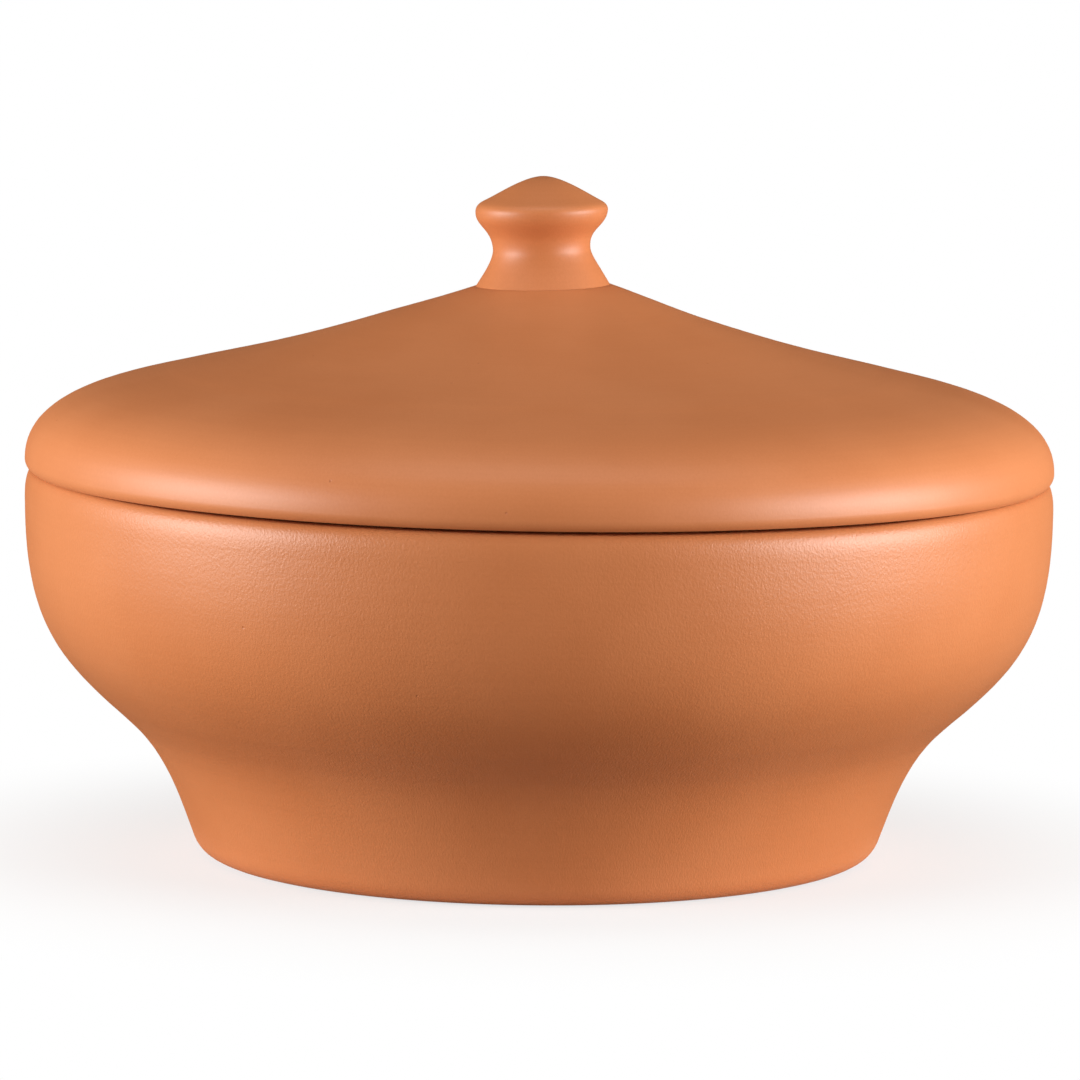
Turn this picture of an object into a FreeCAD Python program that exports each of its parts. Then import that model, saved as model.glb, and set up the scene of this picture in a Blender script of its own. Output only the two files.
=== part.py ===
"""Terracotta tagine pot: a footed bowl, a lid that drops into its mouth, and a knob luted on the lid.

Millimetres, +Z up. The origin is the middle of the foot, on the surface that the pot stands on.
The pieces are thrown on a wheel, so each one is a half section in the XZ plane, revolved about Z.
"""

import FreeCAD, Part
import os
import re

import Sketcher

# Driving dimensions, in millimetres and degrees. Reaches are the lengths of a curve's tangent handles:
# a longer reach carries the clay further along that direction before it bends away.
POT_SIZES = {
    "belly_radius": 130.0,  # widest radius, shared by the pot's belly and the lid's edge
    "rim_height": 97.0,  # from the ground to the rim that carries the lid
    "belly_drop": 7.2,  # from the rim down to where the wall stops being upright
    "belly_reach": 31.8,
    "turn_radius": 104.4,  # where the round belly turns into the hollow waist
    "turn_height": 35.3,
    "turn_angle": 48.3,  # wall's lean from the vertical at the turn
    "turn_reach_up": 22.7,
    "turn_reach_down": 13.0,
    "foot_radius": 87.3,  # where the waist ends and the rounded heel starts
    "foot_height": 5.0,
    "foot_angle": 20.0,  # wall's lean from the vertical above the heel
    "foot_reach": 11.2,
    "heel_run": 6.0,  # how far the heel's rounding runs in under the foot
    "recess_radius": 66.0,  # shallow hollow under the floor, inside the bearing ring
    "recess_bevel": 4.0,
    "recess_depth": 2.0,
    "wall": 8.0,
    "floor_height": 9.0,  # inside of the floor, above the ground
    "floor_radius": 58.0,  # flat part of the floor
    "floor_reach": 22.0,
    "inner_turn_reach_down": 13.0,
    "inner_turn_reach_up": 19.5,
    "inner_belly_reach": 28.5,
    "rim_run": 2.7,  # outer rounding of the rim
    "rim_fall": 6.0,
    "mouth_rounding": 1.5,  # inner rounding of the rim
}
LID_SIZES = {
    "crown_height": 47.8,  # from the rim to the flat crown that carries the knob
    "crown_angle": 19.6,  # slope from the horizontal beside the knob
    "crown_reach": 50.3,
    "lid_turn_radius": 96.0,  # where the hollow slope turns into the round shoulder
    "lid_turn_height": 24.9,
    "lid_turn_angle": 14.1,  # slope from the horizontal at the turn
    "lid_turn_reach_in": 18.5,
    "lid_turn_reach_out": 11.7,
    "edge_height": 3.0,  # widest level of the lid's edge, above the rim
    "edge_reach": 15.5,
    "edge_run": 3.2,  # rounding under the lid's edge
    "seam_gap": 0.8,  # open line between the lid's edge and the pot's rim
    "seat_width": 1.5,  # band of the rim that carries the lid, out from the mouth's rounding
    "flange_clearance": 1.5,  # between the flange and the pot's mouth, on the radius
    "flange_thickness": 5.5,
    "flange_depth": 9.0,
    "flange_root": 1.2,
    "flange_rounding": 2.0,
    "lid_wall": 7.0,
    "spring_height": 4.0,  # where the inside of the dome leaves the flange, above the rim
    "spring_reach": 9.0,
    "inner_lid_reach_out": 10.0,
    "inner_lid_reach_in": 28.0,
    "dome_reach": 14.0,
    "crown_thickness": 6.0,
}
KNOB_SIZES = {
    "knob_radius": 16.9,  # luted base
    "knob_height": 27.5,  # from the crown to the tip
    "flank_angle": 31.4,  # lean of the base's flank from the vertical
    "flank_reach": 5.6,
    "neck_radius": 12.3,
    "neck_height": 9.3,
    "neck_reach_down": 2.1,
    "neck_reach_up": 5.2,
    "cap_radius": 16.7,
    "cap_height": 18.9,  # from the crown to the widest level of the brim
    "cap_reach_down": 4.1,
    "cap_reach_up": 1.6,
    "brim_run": 2.7,  # rolled brim, in and up from its widest level to the cone
    "brim_rise": 2.8,
    "brim_reach": 1.1,
    "cone_angle": 27.9,  # slope of the cap from the horizontal
    "cone_reach": 4.5,
    "tip_reach": 4.3,
}
SIZES = {**POT_SIZES, **LID_SIZES, **KNOB_SIZES}

# Places that more than one outline uses, as formulas of the sizes
MOUTH = "(belly_radius - wall)"
WIDEST = "(rim_height - belly_drop)"
CROWN = "(rim_height + crown_height)"

AXIS = None  # as a radius: on the turning axis
GROUND = None  # as a height: on the ground


def make_sheet(doc):
    """Fills the spreadsheet: one named cell for each driving dimension."""
    sheet = doc.addObject("Spreadsheet::Sheet", "sizes")
    for row, (name, value) in enumerate(SIZES.items(), start=1):
        sheet.set(f"A{row}", name)
        sheet.set(f"B{row}", str(value))
        sheet.setAlias(f"B{row}", name)
    doc.recompute()
    return sheet


def bound(formula):
    """The formula with every size written as its cell in the sheet."""
    return re.sub(r"[a-z_]+", lambda word: f"sizes.{word[0]}" if word[0] in SIZES else word[0], formula)


class HalfSection:
    """A closed half section in a body's XZ plane: one chain of lines and Bezier curves.

    A point is a pair of formulas, its radius and its height, and both are bound to the sheet.
    """

    def __init__(self, body, start):
        self.sketch = body.newObject("Sketcher::SketchObject", f"{body.Label}_section")
        plane = next(item for item in body.Origin.OriginFeatures if item.Role == "XZ_Plane")
        self.sketch.AttachmentSupport = (plane, "")
        self.sketch.MapMode = "FlatFace"
        self.start = start
        self.end = start
        self.last = None

    def number(self, formula):
        return 0.0 if formula is None else float(self.sketch.evalExpression(bound(formula)))

    def place(self, point):
        radius, height = point
        return FreeCAD.Vector(self.number(radius), self.number(height), 0)

    def pin(self, geometry, vertex, point):
        """Holds one vertex at its radius and height."""
        for kind, axis, formula in (("DistanceX", -2, point[0]), ("DistanceY", -1, point[1])):
            if formula is None:
                self.sketch.addConstraint(Sketcher.Constraint("PointOnObject", geometry, vertex, axis))
                continue
            size = Sketcher.Constraint(kind, -1, 1, geometry, vertex, self.number(formula))
            index = self.sketch.addConstraint(size)
            self.sketch.setExpression(f"Constraints[{index}]", bound(formula))

    def join(self, geometry, point):
        """Starts a new piece where the last one ended, and pins its end."""
        if self.last is None:
            self.first = geometry
            self.pin(geometry, 1, self.start)
        else:
            self.sketch.addConstraint(Sketcher.Constraint("Coincident", self.last, 2, geometry, 1))
        if point is self.start:
            self.sketch.addConstraint(Sketcher.Constraint("Coincident", geometry, 2, self.first, 1))
        else:
            self.pin(geometry, 2, point)
        self.last = geometry
        self.end = point

    def line(self, point):
        segment = Part.LineSegment(self.place(self.end), self.place(point))
        self.join(self.sketch.addGeometry(segment, False), point)

    def curve(self, *points):
        """A Bezier curve from the chain's end; every point is a pole, and the last is the new end."""
        degree = len(points)
        poles = [self.place(point) for point in (self.end, *points)]
        spline = Part.BSplineCurve()
        spline.buildFromPolesMultsKnots(poles, [degree + 1, degree + 1], [0.0, 1.0], False, degree)
        geometry = self.sketch.addGeometry(spline, False)
        self.join(geometry, points[-1])
        handles = self.sketch.GeometryCount
        self.sketch.exposeInternalGeometry(geometry)
        for offset, point in enumerate(points[:-1], start=1):
            self.pin(handles + offset, 3, point)

    def close(self):
        self.line(self.start)
        return self.sketch


def up_wall(point, reach, lean):
    """A handle that climbs from a point and leans outward; the lean is from the vertical."""
    radius, height = point
    return (f"{radius} + {reach} * sin({lean})", f"{height} + {reach} * cos({lean})")


def down_slope(point, reach, slope):
    """A handle that runs outward and down from a point; the slope is from the horizontal."""
    radius, height = point
    return (f"{radius} + {reach} * cos({slope})", f"{height} - {reach} * sin({slope})")


def revolve(doc, body, sketch):
    """Turns a half section once round the Z axis."""
    turned = body.newObject("PartDesign::Revolution", f"{body.Label}_turned")
    turned.Profile = sketch
    turned.ReferenceAxis = (sketch, ["V_Axis"])
    turned.Angle = 360.0
    sketch.Visibility = False
    doc.recompute()
    return body


def make_body(doc, label):
    body = doc.addObject("PartDesign::Body", label)
    body.Label = label
    return body


def make_pot(doc):
    """Bowl with a round belly, a hollow waist and a foot that stands on a bearing ring."""
    body = make_body(doc, "pot")
    heel = "foot_radius - foot_height * tan(foot_angle)"
    foot = ("foot_radius", "foot_height")
    turn = ("turn_radius", "turn_height")
    inner_turn = ("turn_radius - wall * cos(turn_angle)", "turn_height + wall * sin(turn_angle)")

    section = HalfSection(body, (AXIS, "recess_depth"))
    # Underside: shallow recess, bevel, bearing ring, rounded heel
    section.line(("recess_radius", "recess_depth"))
    section.line(("recess_radius + recess_bevel", GROUND))
    section.line((f"{heel} - heel_run", GROUND))
    section.curve((heel, GROUND), foot)
    # Outside: waist, belly, upright wall
    section.curve(
        up_wall(foot, "foot_reach", "foot_angle"),
        up_wall(turn, "-turn_reach_down", "turn_angle"),
        turn,
    )
    section.curve(
        up_wall(turn, "turn_reach_up", "turn_angle"),
        ("belly_radius", f"{WIDEST} - belly_reach"),
        ("belly_radius", WIDEST),
    )
    section.line(("belly_radius", "rim_height - rim_fall"))
    # Rim: outer rounding, flat seat, inner rounding
    section.curve(("belly_radius", "rim_height"), ("belly_radius - rim_run", "rim_height"))
    section.line((f"{MOUTH} + mouth_rounding", "rim_height"))
    section.curve((MOUTH, "rim_height"), (MOUTH, "rim_height - mouth_rounding"))
    # Inside: mouth, belly, waist running out into the floor
    section.line((MOUTH, WIDEST))
    section.curve(
        (MOUTH, f"{WIDEST} - inner_belly_reach"),
        up_wall(inner_turn, "inner_turn_reach_up", "turn_angle"),
        inner_turn,
    )
    section.curve(
        up_wall(inner_turn, "-inner_turn_reach_down", "turn_angle"),
        ("floor_radius + floor_reach", "floor_height"),
        ("floor_radius", "floor_height"),
    )
    section.line((AXIS, "floor_height"))
    return revolve(doc, body, section.close())


def make_lid(doc):
    """Domed shell whose seat rests on the pot's rim, with a flange that drops into the mouth."""
    body = make_body(doc, "lid")
    crown = ("knob_radius", CROWN)
    turn = ("lid_turn_radius", "rim_height + lid_turn_height")
    inner_turn = (
        "lid_turn_radius - lid_wall * sin(lid_turn_angle)",
        "rim_height + lid_turn_height - lid_wall * cos(lid_turn_angle)",
    )
    edge = "rim_height + edge_height"
    lip = "rim_height + seam_gap"
    outer = f"({MOUTH} - flange_clearance)"
    inner = f"({outer} - flange_thickness)"
    bottom = "(rim_height - flange_depth)"
    spring = "rim_height + spring_height"
    ceiling = f"{CROWN} - crown_thickness"

    section = HalfSection(body, (AXIS, CROWN))
    # Outside: flat crown under the knob, hollow slope, round shoulder, rolled edge
    section.line(crown)
    section.curve(
        down_slope(crown, "crown_reach", "crown_angle"),
        down_slope(turn, "-lid_turn_reach_in", "lid_turn_angle"),
        turn,
    )
    section.curve(
        down_slope(turn, "lid_turn_reach_out", "lid_turn_angle"),
        ("belly_radius", f"{edge} + edge_reach"),
        ("belly_radius", edge),
    )
    section.curve(("belly_radius", lip), ("belly_radius - edge_run", lip))
    # Underside: relief that shows as the seam, seat on the rim, flange
    section.line((f"{MOUTH} + mouth_rounding + seat_width", "rim_height"))
    section.line((f"{outer} + flange_root", "rim_height"))
    section.curve((outer, "rim_height"), (outer, "rim_height - flange_root"))
    section.line((outer, f"{bottom} + flange_rounding"))
    section.curve((outer, bottom), (f"{outer} - flange_rounding", bottom))
    section.line((f"{inner} + flange_rounding", bottom))
    section.curve((inner, bottom), (inner, f"{bottom} + flange_rounding"))
    # Inside of the dome
    section.line((inner, spring))
    section.curve(
        (inner, f"{spring} + spring_reach"),
        down_slope(inner_turn, "inner_lid_reach_out", "lid_turn_angle"),
        inner_turn,
    )
    section.curve(
        down_slope(inner_turn, "-inner_lid_reach_in", "lid_turn_angle"),
        ("dome_reach", ceiling),
        (AXIS, ceiling),
    )
    return revolve(doc, body, section.close())


def make_knob(doc):
    """Waisted knob with a rolled brim and a blunt cone, luted by its flat base to the lid's crown."""
    body = make_body(doc, "lid_knob")
    base = ("knob_radius", CROWN)
    neck = f"{CROWN} + neck_height"
    cap = f"{CROWN} + cap_height"
    tip = f"{CROWN} + knob_height"
    brim = ("cap_radius - brim_run", f"{cap} + brim_rise")

    section = HalfSection(body, (AXIS, CROWN))
    section.line(base)
    section.curve(
        up_wall(base, "flank_reach", "-flank_angle"),
        ("neck_radius", f"{neck} - neck_reach_down"),
        ("neck_radius", neck),
    )
    section.curve(
        ("neck_radius", f"{neck} + neck_reach_up"),
        ("cap_radius", f"{cap} - cap_reach_down"),
        ("cap_radius", cap),
    )
    section.curve(("cap_radius", f"{cap} + cap_reach_up"), down_slope(brim, "brim_reach", "cone_angle"), brim)
    section.curve(down_slope(brim, "-cone_reach", "cone_angle"), ("tip_reach", tip), (AXIS, tip))
    return revolve(doc, body, section.close())


def check(doc, bodies):
    """Stops the build if any object failed or any piece isn't one sound solid."""
    for item in doc.Objects:
        if {"Invalid", "Error"} & set(item.State):
            raise RuntimeError(f"{item.Label} failed: {item.State}")
    for body in bodies:
        shape = body.Shape
        if shape.isNull() or not shape.isValid() or len(shape.Solids) != 1:
            raise RuntimeError(f"{body.Label} isn't one sound solid")


def main():
    doc = FreeCAD.newDocument("tagine_pot")
    make_sheet(doc)
    bodies = [make_pot(doc), make_lid(doc), make_knob(doc)]
    doc.recompute()
    check(doc, bodies)
    os.makedirs("parts", exist_ok=True)
    for body in bodies:
        body.Shape.exportStep(f"parts/{body.Label}.step")
        print(body.Label, "volume", round(body.Shape.Volume / 1000, 1), "cm3")


main()
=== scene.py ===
"""Looks of the terracotta tagine pot: its three clay pieces, their finish, the studio and the camera.

Metres, +Z up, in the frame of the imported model. Each piece is turned once more from the half section of
its own node, fine enough to carry the marks of the wheel, and stands for that node.
"""

import math

import bpy
import numpy as np
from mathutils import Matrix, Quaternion, Vector


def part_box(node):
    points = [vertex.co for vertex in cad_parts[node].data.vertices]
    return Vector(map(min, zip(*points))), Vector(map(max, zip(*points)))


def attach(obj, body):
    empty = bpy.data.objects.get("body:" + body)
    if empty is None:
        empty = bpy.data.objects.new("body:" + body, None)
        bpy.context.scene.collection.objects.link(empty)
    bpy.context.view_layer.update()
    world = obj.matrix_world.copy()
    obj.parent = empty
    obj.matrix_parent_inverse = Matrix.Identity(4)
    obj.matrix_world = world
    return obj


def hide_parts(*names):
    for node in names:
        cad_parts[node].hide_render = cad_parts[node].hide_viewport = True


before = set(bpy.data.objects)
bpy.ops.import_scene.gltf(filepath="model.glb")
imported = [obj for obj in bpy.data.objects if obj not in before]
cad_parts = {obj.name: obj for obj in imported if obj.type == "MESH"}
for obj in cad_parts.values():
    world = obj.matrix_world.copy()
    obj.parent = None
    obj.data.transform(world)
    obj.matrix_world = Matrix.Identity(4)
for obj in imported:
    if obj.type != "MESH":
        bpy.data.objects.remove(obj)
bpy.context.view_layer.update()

MM = 0.001
TURN = 2 * math.pi
WHITE = (1, 1, 1, 1)

# Half sections, read from the frame
SEAM_TOLERANCE = 1e-4 * MM
SPOT_DIGITS = 7  # decimals that tell two points of it apart
CORNER = math.radians(15)  # a sharper bend than this stays a corner
SAMPLE = 0.05 * MM
FINEST = 0.25 * MM  # step along the section on small roundings
COARSEST = 1.2 * MM  # and on long curves
STEP_BEND = math.radians(7)  # bend that one step may take
LEAST_BEND = 1e-6  # stands for none at all
STRAIGHT = 4  # a run this many times longer than its neighbour is straight
CREASE = math.radians(50)  # sharper edges are shaded as edges
SEGMENTS = 288  # round the pot and the lid
KNOB_SEGMENTS = 160

# Lower edge of the lid, trimmed to a corner
LIP_RUN = 1.35 * MM  # from the widest level in to the corner
LIP_RISE = 0.35 * MM  # corner above the rim
LIP_TURN = 1.3 * MM  # height above the rim that steers the curve down to the corner
HOLLOW_RUN = 2.8 * MM  # highest line of the hollow behind it
HOLLOW_RISE = 1.1 * MM
LIP_STEPS = 12

# Seam: open towards -Y and close elsewhere
OPEN_SPAN = (0.35, 0.9)  # share of -Y between which it opens
LIP_LIFT = 0.15 * MM  # there the lid's corner stands this much higher
LIP_SPAN = (0.5 * MM, 3 * MM)  # heights above the rim between which that fades out
LIP_REACH = (125 * MM, 127 * MM)  # radii between which it begins
RIM_DIP = 0.45 * MM  # and the rim lies this much lower
DIP_START = 12 * MM  # from this far below the rim
RIM_FULLNESS = 0.3 * MM  # elsewhere the rounding of the rim is this much fuller
FULL_START = 6 * MM  # from this far along the section before the rim's flat
FULL_PEAK = 2.4 * MM  # fullest this far before it

# How the thrown pieces depart from true round
RIM_TILT = 0.0076  # slope of the rim and the lid, up towards -X
TILT_START = 10 * MM  # height where the pot starts to lean over to that slope
LID_SHIFT = -0.8 * MM  # the lid lies towards -Y in the mouth, where its flange has room
CROWN_TILT = 0.043  # slope of the lid's crown, up towards +X
CROWN_SPAN = (5 * MM, 42 * MM)  # radii between which that slope fades out
KNOB_SHIFT = 0.08 * MM  # the knob's base sits off the axis, towards +X
NECK_SHIFT = -0.75 * MM  # its neck bends towards -X
NECK_SPAN = (3 * MM, 14 * MM)  # heights above the base between which it does
CAP_SHIFT = 0.43 * MM  # and its cap leans towards +X again
CAP_SPAN = (16 * MM, 23 * MM)
CAP_LEVEL = 0.6  # share of the crown's slope that the cap doesn't follow

# Marks of the wheel
RING_PITCH = 8 * MM  # finger rings inside
RING_DEPTH = 0.22 * MM
RING_SWELL = 0.25  # share of that depth that comes and goes
SWELL_RATE = 0.37  # swells to a ring
SWELL_START = 1.3
LID_RINGS = (36 * MM, 27 * MM)  # distances before the flange's lower edge between which the lid's rings end
TRIM_PITCH = 3.2 * MM  # turning tool under the foot
TRIM_DEPTH = 0.1 * MM
TRIM_FADE = (6 * MM, 3 * MM)  # distances before the bearing ring between which its marks end
STANDING = 0.01 * MM  # what lies lower than this bears on the ground
RIPPLE_DEPTH = 0.006 * MM  # burnished outside
RIPPLE_WAVES = (3.1 * MM, 4.7 * MM, 7.9 * MM, 13.0 * MM)
RIPPLE_WANDER = 0.6  # how far the waves stray from level, in radians
KNOB_RIPPLE = 0.5  # share of them on the knob
POT_SEED, LID_SEED, KNOB_SEED = 1, 2, 3
RING_FADE = 9 * MM
AXIS_FADE = 6 * MM
BARE_FADE = 4 * MM  # the burnishing ends over this length under the lid's edge

# Clay
CLAY_LIGHT = (0.635, 0.227, 0.085, 1)
CLAY_DARK = (0.575, 0.192, 0.065, 1)
CLAY_IOR = 1.5
POT_SATIN = 0.41  # roughness where the clay is burnished
POT_GRAIN = 0.095 * MM  # depth of the sand grains there
LID_SATIN = 0.47
LID_GRAIN = 0.03 * MM
BARE_ROUGHER = 0.2  # added where it is left bare
BARE_GRAIN = 0.05 * MM
NOISE_SPAN = (0.3, 0.7)  # between these lie most values of a noise
CLOUD = 45 * MM  # size of the firing clouds
CLOUD_DETAIL = 3.0
CLOUD_TONE = (0.2, 0.8)  # share of the dark clay in them
STROKE = (60 * MM, 60 * MM, 0.8 * MM)  # size of the burnishing strokes
STROKE_DETAIL = 2.0
STROKE_TONE = 0.06
STROKE_DEPTH = 0.004 * MM
GRAIN = (0.58 * MM, 0.58 * MM, 0.8 * MM)  # size of the sand grains
GRAIN_DETAIL = 2.0
GRAIN_ROUGHNESS = 0.6
GRAIN_TONE = 0.14
PIT_SPACING = 7 * MM
PIT_CHANCE = (0.8, 0.85)  # a cell that draws more than this has a pit
PIT_EDGE = (0.02, 0.06)  # where its slope starts and ends, in cells
PIT_DEPTH = 0.08 * MM
# painted shade: the colour that the pits are darkened to
PIT_SHADE_COLOUR = (0.45, 0.13, 0.045, 1)
PIT_SHADE_SHARE = 0.6  # share of that painted shade in it

# Camera: fitted to the seam, the foot and the outline in the photograph
IMAGE = 1080  # pixels along a side of the photograph
SENSOR = 36.0
FOCAL_PIXELS = 6784.6
CAMERA_DISTANCE = 1721.1 * MM
CAMERA_ELEVATION = math.radians(6.905)
CAMERA_ROLL = math.radians(0.519)
TARGET_HEIGHT = 79.81 * MM
AXIS_PIXEL = 538.75  # column where the turning axis shows

# Studio
KEY_AZIMUTH = math.radians(72)  # a softbox low on each side of the camera
KEY_ELEVATION = math.radians(10)
KEY_WIDTH = 0.85
KEY_HEIGHT = 0.5
LEFT_POWER = 18.4
RIGHT_POWER = 20.2
TOP_POWER = 4.0
TOP_ELEVATION = math.radians(80)
TOP_WIDTH = 1.4
TOP_DEPTH = 0.5
SOFTBOX_DISTANCE = 1.2
FILL = 0.08  # light from all round
FILL_COLOUR = (1, 0.68, 0.45, 1)
FLOOR_REACH = 40.0  # from the axis to each side
FLOOR_COLOUR = (0.28, 0.2, 0.14, 1)  # what the floor throws back on the clay
FLOOR_CLOSE = (0.7, 0.6, 0.5, 1)  # and close to the foot
CLOSE_SPAN = (84 * MM, 104 * MM)  # distances from the axis between which the close part ends
FLOOR_SEEN = (0.9, 0.9, 0.9, 1)  # what the camera sees of it
SHADE_SHARE = 0.3  # share of that in the shade round the foot, the rest is plain white
SHADE_SPAN = (90 * MM, 200 * MM)  # distances from the axis between which the shade ends


def smoothstep(low, high, value):
    share = np.clip((value - low) / (high - low), 0, 1)
    return share * share * (3 - 2 * share)


# Half sections

def seam_points(node):
    """A node's half section from axis to axis, as (radius, height), read along its mesh's seam at +X."""
    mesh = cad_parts[node].data
    spots = {}
    for vertex in mesh.vertices:
        x, y, z = vertex.co
        if abs(y) < SEAM_TOLERANCE and x > -SEAM_TOLERANCE:
            spots[vertex.index] = (round(max(x, 0), SPOT_DIGITS), round(z, SPOT_DIGITS))
    links = {spot: set() for spot in spots.values()}
    for edge in mesh.edges:
        one, other = (spots.get(index) for index in edge.vertices)
        if one and other and one != other:
            links[one].add(other)
            links[other].add(one)
    ends = [spot for spot, near in links.items() if len(near) == 1]
    chain = [min(ends, key=lambda spot: spot[1])]
    onward = links[chain[0]]
    while onward:
        chain.append(onward.pop())
        onward = links[chain[-1]] - {chain[-2]}
    first = [(0.0, chain[0][1])] if chain[0][0] > 0 else []
    last = [(0.0, chain[-1][1])] if chain[-1][0] > 0 else []
    return np.array(first + chain + last)


def crisp_lip(points):
    """The lid's half section with the rounding under its edge drawn as a corner, hollow behind."""
    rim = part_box("pot")[1].z
    seat = np.nonzero(np.abs(points[:, 1] - rim) < SEAM_TOLERANCE)[0][-1]
    widest = np.argmax(points[:, 0])
    reach = points[widest, 0]
    hollow = np.array([[reach - HOLLOW_RUN, rim + HOLLOW_RISE]])
    corner = np.array([reach - LIP_RUN, rim + LIP_RISE])
    steer = np.array([reach, rim + LIP_TURN])
    share = np.linspace(0, 1, LIP_STEPS + 1)[:, None]
    rest = 1 - share
    curve = corner * rest**2 + steer * 2 * rest * share + points[widest] * share**2
    return np.vstack([points[:seat + 1], hollow, curve, points[widest + 1:]])


def headings(points):
    steps = np.diff(points, axis=0)
    return np.unwrap(np.arctan2(steps[:, 1], steps[:, 0]))


def split_at_corners(points):
    bends = np.abs(np.diff(headings(points)))
    cuts = [0, *(np.nonzero(bends > CORNER)[0] + 1), len(points) - 1]
    return [points[start:end + 1] for start, end in zip(cuts, cuts[1:])]


def fair_curve(points):
    """Close samples of a smooth curve through points: cubic spans, sloped as their neighbours ask."""
    gaps = np.linalg.norm(np.diff(points, axis=0), axis=1)[:, None]
    slopes = np.diff(points, axis=0) / gaps
    tangents = np.vstack([slopes[:1], slopes])
    tangents[1:-1] = (gaps[1:] * slopes[:-1] + gaps[:-1] * slopes[1:]) / (gaps[1:] + gaps[:-1])
    tangents[1:-1] = np.where(gaps[:-1] > STRAIGHT * gaps[1:], slopes[:-1], tangents[1:-1])
    tangents[1:-1] = np.where(gaps[1:] > STRAIGHT * gaps[:-1], slopes[1:], tangents[1:-1])
    for end, side in ((0, 1.0), (-1, -1.0)):
        if points[end][0] == 0:
            tangents[end] = (side, 0)
    knots = np.concatenate([[0], np.cumsum(gaps)])
    at = np.linspace(0, knots[-1], max(2, math.ceil(knots[-1] / SAMPLE)))
    span = np.clip(np.searchsorted(knots, at, side="right") - 1, 0, len(gaps) - 1)
    share = ((at - knots[span]) / gaps[span, 0])[:, None]
    rest = 1 - share
    start = points[span] * (1 + 2 * share) + tangents[span] * gaps[span] * share
    end = points[span + 1] * (1 + 2 * rest) - tangents[span + 1] * gaps[span] * rest
    return start * rest**2 + end * share**2


def spaced(points):
    """The same curve in few points: close together where it bends, far apart where it runs straight."""
    dense = fair_curve(points)
    lengths = np.linalg.norm(np.diff(dense, axis=0), axis=1)
    bend = np.abs(np.gradient(headings(dense))) / lengths if len(lengths) > 1 else np.zeros(1)
    step = np.clip(STEP_BEND / np.maximum(bend, LEAST_BEND), FINEST, COARSEST)
    ticks = np.concatenate([[0], np.cumsum(lengths / step)])
    at = np.linspace(0, ticks[-1], max(3, math.ceil(ticks[-1]) + 1))
    return np.stack([np.interp(at, ticks, dense[:, column]) for column in (0, 1)], axis=1)


class Section:
    """A fine half section: its points, their outward normals and how far along it each one lies."""

    def __init__(self, outline):
        stretches = [spaced(points) for points in split_at_corners(outline)]
        points = np.vstack([stretches[0], *(stretch[1:] for stretch in stretches[1:])])
        self.radius, self.height = points.T
        self.along = np.concatenate([[0], np.cumsum(np.linalg.norm(np.diff(points, axis=0), axis=1))])
        slope = np.gradient(points, self.along, axis=0)
        slope /= np.linalg.norm(slope, axis=1)[:, None]
        self.out = slope[:, 1]
        self.up = -slope[:, 0]


# Marks of the wheel, as heights above a section. A column runs along the section, a row round the axis.
# A piece's relief comes with how bare its clay was left, 0 to 1.

def finger_rings(section, angle):
    """A spiral groove, one ring to each turn of the wheel."""
    turns = section.along[:, None] / RING_PITCH
    swell = np.sin(SWELL_RATE * TURN * turns + SWELL_START)
    uneven = 1 - RING_SWELL + RING_SWELL * swell
    return RING_DEPTH * uneven * np.sin(TURN * turns + angle)


def trimming(section):
    return TRIM_DEPTH * np.sin(TURN * section.along / TRIM_PITCH)[:, None]


def ripples(section, angle, seed):
    """Faint waves that the burnishing leaves, not quite level round the piece."""
    chance = np.random.default_rng(seed)
    total = 0
    for wave in RIPPLE_WAVES:
        phase, drift = chance.uniform(0, TURN, 2)
        wander = RIPPLE_WANDER * np.sin(angle + drift)
        total = total + np.sin(TURN * section.along[:, None] / wave + phase + wander)
    return RIPPLE_DEPTH * total


def off_axis(section):
    return smoothstep(0, AXIS_FADE, section.radius)[:, None]


def open_share(front):
    """How open the seam is, 0 to 1, by how much a place round the axis lies towards -Y."""
    return smoothstep(*OPEN_SPAN, front)


def pot_relief(section, angle):
    rim = section.along[np.argmax(section.height)]
    standing = section.along[np.nonzero(section.height < STANDING)[0]]
    inside = smoothstep(rim + RING_FADE, rim + 2 * RING_FADE, section.along)[:, None]
    trim_start, trim_end = (standing[0] - distance for distance in TRIM_FADE)
    under = 1 - smoothstep(trim_start, trim_end, section.along)[:, None]
    outside = smoothstep(standing[-1], standing[-1] + RING_FADE, section.along)[:, None]
    outside = outside * (1 - smoothstep(rim - RING_FADE, rim, section.along)[:, None])
    rounding = smoothstep(rim - FULL_START, rim - FULL_PEAK, section.along)
    rounding = rounding * (1 - smoothstep(rim - FULL_PEAK, rim, section.along))
    fuller = RIM_FULLNESS * rounding[:, None] * (1 - open_share(-np.sin(angle)))
    relief = inside * finger_rings(section, angle) + under * trimming(section) + fuller
    relief = relief + outside * ripples(section, angle, POT_SEED)
    return relief * off_axis(section), inside + under


def lid_relief(section, angle):
    flange = section.along[np.argmin(section.height)]
    edge = section.along[np.argmax(section.radius)]
    rings_start, rings_end = (flange - distance for distance in LID_RINGS)
    inside = 1 - smoothstep(rings_start, rings_end, section.along)[:, None]
    outside = smoothstep(edge, edge + RING_FADE, section.along)[:, None]
    relief = inside * finger_rings(section, angle) + outside * ripples(section, angle, LID_SEED)
    bare = 1 - smoothstep(edge - BARE_FADE, edge, section.along)[:, None]
    return relief * off_axis(section), bare


def knob_relief(section, angle):
    relief = KNOB_RIPPLE * ripples(section, angle, KNOB_SEED)
    return relief * off_axis(section), np.zeros((len(section.along), 1))


# Departures from true round

def off_centre(points):
    return np.hypot(points[:, 0], points[:, 1])


def seam_opening(points):
    return open_share(-points[:, 1] / np.maximum(off_centre(points), MM))


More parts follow.
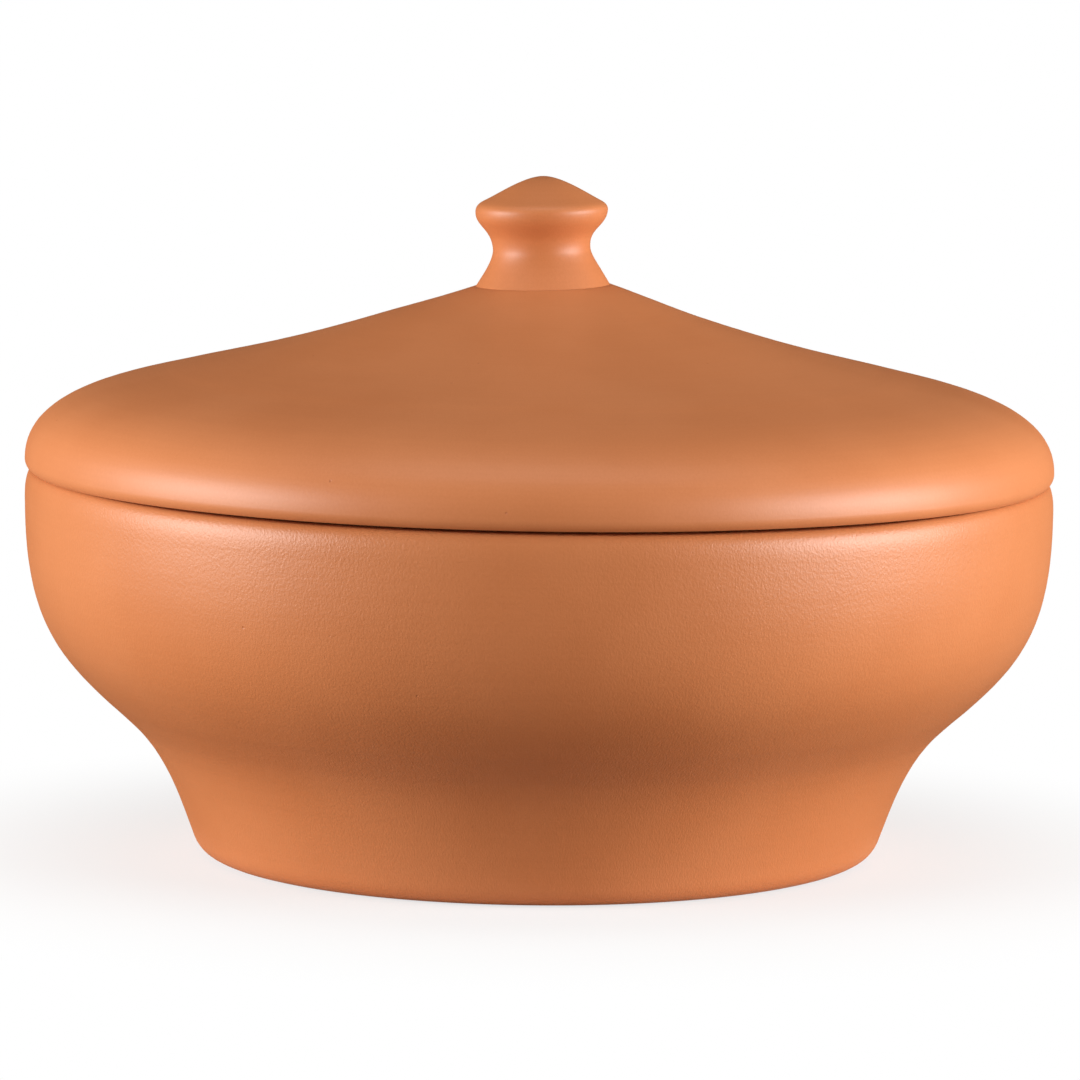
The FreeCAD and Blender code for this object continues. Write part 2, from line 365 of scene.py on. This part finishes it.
def settled_pot(points):
    """The rim slopes to one side and dips at the front."""
    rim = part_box("pot")[1].z
    dip = RIM_DIP * seam_opening(points) * smoothstep(rim - DIP_START, rim, points[:, 2])
    points[:, 2] -= RIM_TILT * points[:, 0] * smoothstep(TILT_START, rim, points[:, 2]) + dip


def raised_lip(points):
    """How much higher the lid's lower edge stands where the seam is open."""
    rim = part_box("pot")[1].z
    outer = smoothstep(*LIP_REACH, off_centre(points))
    lower = 1 - smoothstep(*LIP_SPAN, points[:, 2] - rim)
    return LIP_LIFT * seam_opening(points) * outer * lower


def settled_lid(points, level=0.0):
    """The lid follows the rim that it rests on, and its crown slopes a little the other way."""
    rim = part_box("pot")[1].z
    sideways = RIM_TILT * (points[:, 2] - rim)
    crown = 1 - smoothstep(*CROWN_SPAN, off_centre(points))
    slope = CROWN_TILT * crown * (1 - level) - RIM_TILT
    points[:, 2] += slope * points[:, 0] + raised_lip(points)
    points[:, 0] += sideways
    points[:, 1] += LID_SHIFT


def settled_knob(points):
    """The knob was pressed on by hand: its base, its neck and its cap don't quite line up."""
    low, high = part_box("lid_knob")
    rise = points[:, 2] - low.z
    bend = NECK_SHIFT * smoothstep(*NECK_SPAN, rise) + CAP_SHIFT * smoothstep(*CAP_SPAN, rise)
    settled_lid(points, CAP_LEVEL * smoothstep(0, high.z - low.z, rise))
    points[:, 0] += KNOB_SHIFT + bend


# Turned pieces

def turned(name, outline, segments, relief, settle, material):
    """A closed mesh turned from a half section, with the marks of the wheel on it."""
    section = Section(outline)
    angle = np.linspace(0, TURN, segments, endpoint=False)
    height, bare = relief(section, angle)
    radius = section.radius[:, None] + height * section.out[:, None]
    points = np.stack(
        [
            radius * np.cos(angle),
            radius * np.sin(angle),
            section.height[:, None] + height * section.up[:, None],
        ],
        axis=2,
    )
    rings = points[1:-1].reshape(-1, 3)
    vertices = np.vstack([points[0, :1], rings, points[-1, :1]])
    settle(vertices)
    mesh = bpy.data.meshes.new(name)
    mesh.from_pydata(vertices.tolist(), [], lathe_faces(len(section.along) - 2, segments))
    add_attributes(mesh, section, angle, bare)
    mesh.polygons.foreach_set("use_smooth", [True] * len(mesh.polygons))
    mesh.set_sharp_from_angle(angle=CREASE)
    mesh.materials.append(material)
    mesh.update()
    piece = bpy.data.objects.new(name, mesh)
    bpy.context.scene.collection.objects.link(piece)
    return piece


def lathe_faces(rings, segments):
    """Quads between the rings, and a fan of triangles at each end of the axis. Vertex 0 is one end."""
    ring = np.arange(rings - 1)[:, None] * segments + 1
    here = np.arange(segments)
    there = (here + 1) % segments
    quads = np.stack([ring + here, ring + there, ring + segments + there, ring + segments + here], axis=2)
    top = (rings - 1) * segments + 1
    tip = rings * segments + 1
    start = [(0, 1 + b, 1 + a) for a, b in zip(here.tolist(), there.tolist())]
    end = [(tip, top + a, top + b) for a, b in zip(here.tolist(), there.tolist())]
    return quads.reshape(-1, 4).tolist() + start + end


def add_attributes(mesh, section, angle, bare):
    """What the finish reads: a place unrolled along the section, and where the clay was left bare."""
    reach = section.radius.max()
    shape = (len(section.along), len(angle))
    unrolled = np.empty((*shape, 3))
    unrolled[:, :, 0] = reach * np.cos(angle)
    unrolled[:, :, 1] = reach * np.sin(angle)
    unrolled[:, :, 2] = section.along[:, None]
    bare = np.broadcast_to(bare, shape)
    for title, kind, key, values in (
        ("unrolled", "FLOAT_VECTOR", "vector", unrolled),
        ("bare", "FLOAT", "value", bare[:, :, None]),
    ):
        width = values.shape[2]
        body = values[1:-1].reshape(-1, width)
        flat = np.vstack([values[0, :1], body, values[-1, :1]])
        attribute = mesh.attributes.new(title, kind, "POINT")
        attribute.data.foreach_set(key, flat.astype(np.float32).ravel())


# Finish

class Nodes:
    """A material's node tree, with short ways to add to it."""

    def __init__(self, name):
        self.material = bpy.data.materials.new(name)
        self.material.use_nodes = True
        self.tree = self.material.node_tree
        self.tree.nodes.clear()

    def add(self, kind, inputs=(), **settings):
        made = self.tree.nodes.new(kind)
        for name, value in settings.items():
            setattr(made, name, value)
        for key, value in dict(inputs).items():
            if isinstance(value, bpy.types.NodeSocket):
                self.tree.links.new(value, made.inputs[key])
            else:
                made.inputs[key].default_value = value
        return made

    def attribute(self, name, socket):
        return self.add("ShaderNodeAttribute", attribute_name=name).outputs[socket]

    def maths(self, operation, *values):
        return self.add("ShaderNodeMath", enumerate(values), operation=operation).outputs[0]

    def stretched(self, place, *features):
        """A place divided by the size of a feature along each axis."""
        scale = [1 / feature for feature in features]
        return self.add("ShaderNodeVectorMath", {0: place, 1: scale}, operation="MULTIPLY").outputs[0]

    def noise(self, place, detail, roughness=0.5):
        inputs = {"Vector": place, "Scale": 1.0, "Detail": detail, "Roughness": roughness}
        return self.add("ShaderNodeTexNoise", inputs).outputs["Fac"]

    def between(self, value, low, high, new_low, new_high):
        inputs = {0: value, 1: low, 2: high, 3: new_low, 4: new_high}
        return self.add("ShaderNodeMapRange", inputs, interpolation_type="SMOOTHSTEP").outputs[0]

    def mixed(self, share, one, other):
        inputs = {"Factor_Float": share, "A_Color": one, "B_Color": other}
        made = self.add("ShaderNodeMix", data_type="RGBA")
        sockets = {socket.identifier: socket for socket in made.inputs}
        for key, value in inputs.items():
            if isinstance(value, bpy.types.NodeSocket):
                self.tree.links.new(value, sockets[key])
            else:
                sockets[key].default_value = value
        return next(socket for socket in made.outputs if socket.type == "RGBA")


def burnished_clay(name, satin, grain_depth):
    """Unglazed terracotta, rubbed to a satin outside and left coarser inside and underneath."""
    nodes = Nodes(name)
    place = nodes.add("ShaderNodeTexCoord").outputs["Object"]
    unrolled = nodes.attribute("unrolled", "Vector")
    bare = nodes.attribute("bare", "Fac")

    cloud = nodes.noise(nodes.stretched(place, CLOUD, CLOUD, CLOUD), CLOUD_DETAIL)
    stroke = nodes.noise(nodes.stretched(unrolled, *STROKE), STROKE_DETAIL)
    grain = nodes.noise(nodes.stretched(unrolled, *GRAIN), GRAIN_DETAIL, GRAIN_ROUGHNESS)
    cells = nodes.stretched(place, PIT_SPACING, PIT_SPACING, PIT_SPACING)
    pits = nodes.add("ShaderNodeTexVoronoi", {"Vector": cells, "Scale": 1.0})
    lottery = nodes.add("ShaderNodeSeparateColor", {"Color": pits.outputs["Color"]}).outputs[0]
    chosen = nodes.between(lottery, *PIT_CHANCE, 0.0, 1.0)
    bowl = nodes.between(pits.outputs["Distance"], *PIT_EDGE, 1.0, 0.0)
    pit = nodes.maths("MULTIPLY", chosen, bowl)

    tone = nodes.between(cloud, *NOISE_SPAN, *CLOUD_TONE)
    tone = nodes.maths("ADD", tone, nodes.between(stroke, *NOISE_SPAN, -STROKE_TONE, STROKE_TONE))
    tone = nodes.maths("ADD", tone, nodes.between(grain, *NOISE_SPAN, -GRAIN_TONE, GRAIN_TONE))
    colour = nodes.mixed(tone, CLAY_LIGHT, CLAY_DARK)
    # painted shade: each pit is darkened in colour as well as sunk by the bump
    colour = nodes.mixed(nodes.maths("MULTIPLY", pit, PIT_SHADE_SHARE), colour, PIT_SHADE_COLOUR)

    gloss = nodes.maths("ADD", satin, nodes.maths("MULTIPLY", bare, BARE_ROUGHER))

    depth = nodes.maths("ADD", grain_depth, nodes.maths("MULTIPLY", bare, BARE_GRAIN))
    height = nodes.maths("MULTIPLY", grain, depth)
    height = nodes.maths("ADD", height, nodes.maths("MULTIPLY", stroke, STROKE_DEPTH))
    height = nodes.maths("SUBTRACT", height, nodes.maths("MULTIPLY", pit, PIT_DEPTH))
    bump = nodes.add("ShaderNodeBump", {"Strength": 1.0, "Distance": 1.0, "Height": height})

    inputs = {"Base Color": colour, "Roughness": gloss, "IOR": CLAY_IOR, "Normal": bump.outputs["Normal"]}
    shader = nodes.add("ShaderNodeBsdfPrincipled", inputs)
    nodes.add("ShaderNodeOutputMaterial", {"Surface": shader.outputs[0]})
    return nodes.material


def dress():
    """Makes the three clay pieces, each in the place of its node."""
    sandy = burnished_clay("sandy_clay", POT_SATIN, POT_GRAIN)
    smooth = burnished_clay("smooth_clay", LID_SATIN, LID_GRAIN)
    pot = seam_points("pot")
    lid = crisp_lip(seam_points("lid"))
    knob = seam_points("lid_knob")
    for name, node, body, outline, segments, relief, settle, clay in (
        ("thrown_pot", "pot", "pot", pot, SEGMENTS, pot_relief, settled_pot, sandy),
        ("thrown_lid", "lid", "lid", lid, SEGMENTS, lid_relief, settled_lid, smooth),
        ("luted_knob", "lid_knob", "lid", knob, KNOB_SEGMENTS, knob_relief, settled_knob, smooth),
    ):
        piece = turned(name, outline, segments, relief, settle, clay)
        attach(piece, body)
        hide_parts(node)


# Studio

def floor_finish():
    """Pale floor. To the camera it is lifted to white, less so near the pot, where its shadow lies."""
    nodes = Nodes("pale_floor")
    place = nodes.add("ShaderNodeTexCoord").outputs["Object"]
    distance = nodes.add("ShaderNodeVectorMath", {0: place}, operation="LENGTH").outputs["Value"]
    lifted = nodes.between(distance, *SHADE_SPAN, 1 - SHADE_SHARE, 1.0)
    camera = nodes.add("ShaderNodeLightPath").outputs["Is Camera Ray"]
    away = nodes.between(distance, *CLOSE_SPAN, 0.0, 1.0)
    bounced = nodes.mixed(away, FLOOR_CLOSE, FLOOR_COLOUR)
    colour = nodes.mixed(camera, bounced, FLOOR_SEEN)
    matt = nodes.add("ShaderNodeBsdfDiffuse", {"Color": colour})
    white = nodes.add("ShaderNodeEmission", {"Color": WHITE, "Strength": 1.0})
    share = nodes.maths("MULTIPLY", lifted, camera)
    both = nodes.add("ShaderNodeMixShader", {0: share, 1: matt.outputs[0], 2: white.outputs[0]})
    nodes.add("ShaderNodeOutputMaterial", {"Surface": both.outputs[0]})
    return nodes.material


def make_floor():
    mesh = bpy.data.meshes.new("floor")
    side = FLOOR_REACH
    corners = [(-side, -side, 0), (side, -side, 0), (side, side, 0), (-side, side, 0)]
    mesh.from_pydata(corners, [], [(0, 1, 2, 3)])
    mesh.materials.append(floor_finish())
    floor = bpy.data.objects.new("floor", mesh)
    bpy.context.scene.collection.objects.link(floor)


def direction(azimuth, elevation):
    """Towards a point round the pot: azimuth 0 is the camera's side, and positive is to its right."""
    level = math.cos(elevation)
    return Vector((math.sin(azimuth) * level, -math.cos(azimuth) * level, math.sin(elevation)))


def make_softbox(name, azimuth, elevation, width, height, power):
    light = bpy.data.lights.new(name, "AREA")
    light.shape = "RECTANGLE"
    light.size = width
    light.size_y = height
    light.energy = power
    lamp = bpy.data.objects.new(name, light)
    towards = direction(azimuth, elevation)
    lamp.location = Vector((0, 0, TARGET_HEIGHT)) + towards * SOFTBOX_DISTANCE
    lamp.rotation_mode = "QUATERNION"
    lamp.rotation_quaternion = (-towards).to_track_quat("-Z", "Y")
    bpy.context.scene.collection.objects.link(lamp)


def make_lights():
    make_softbox("softbox_left", -KEY_AZIMUTH, KEY_ELEVATION, KEY_WIDTH, KEY_HEIGHT, LEFT_POWER)
    make_softbox("softbox_right", KEY_AZIMUTH, KEY_ELEVATION, KEY_WIDTH, KEY_HEIGHT, RIGHT_POWER)
    make_softbox("softbox_top", 0, TOP_ELEVATION, TOP_WIDTH, TOP_DEPTH, TOP_POWER)


def make_world():
    """White to the camera, and a soft even light to everything else."""
    world = bpy.data.worlds.new("studio")
    world.use_nodes = True
    tree = world.node_tree
    fill = tree.nodes["Background"]
    fill.inputs["Color"].default_value = FILL_COLOUR
    fill.inputs["Strength"].default_value = FILL
    white = tree.nodes.new("ShaderNodeBackground")
    white.inputs["Color"].default_value = WHITE
    path = tree.nodes.new("ShaderNodeLightPath")
    both = tree.nodes.new("ShaderNodeMixShader")
    tree.links.new(path.outputs["Is Camera Ray"], both.inputs[0])
    tree.links.new(fill.outputs[0], both.inputs[1])
    tree.links.new(white.outputs[0], both.inputs[2])
    tree.links.new(both.outputs[0], tree.nodes["World Output"].inputs["Surface"])
    bpy.context.scene.world = world


def make_camera():
    data = bpy.data.cameras.new("camera")
    data.sensor_width = SENSOR
    data.lens = FOCAL_PIXELS / IMAGE * SENSOR
    data.shift_x = (IMAGE / 2 - AXIS_PIXEL) / IMAGE
    camera = bpy.data.objects.new("camera", data)
    towards = direction(0, CAMERA_ELEVATION)
    camera.location = Vector((0, 0, TARGET_HEIGHT)) + towards * CAMERA_DISTANCE
    camera.rotation_mode = "QUATERNION"
    aim = (-towards).to_track_quat("-Z", "Y")
    camera.rotation_quaternion = aim @ Quaternion((0, 0, 1), CAMERA_ROLL)
    bpy.context.scene.collection.objects.link(camera)
    bpy.context.scene.camera = camera


dress()
make_floor()
make_lights()
make_world()
make_camera()
bpy.context.scene.view_settings.view_transform = "Standard"
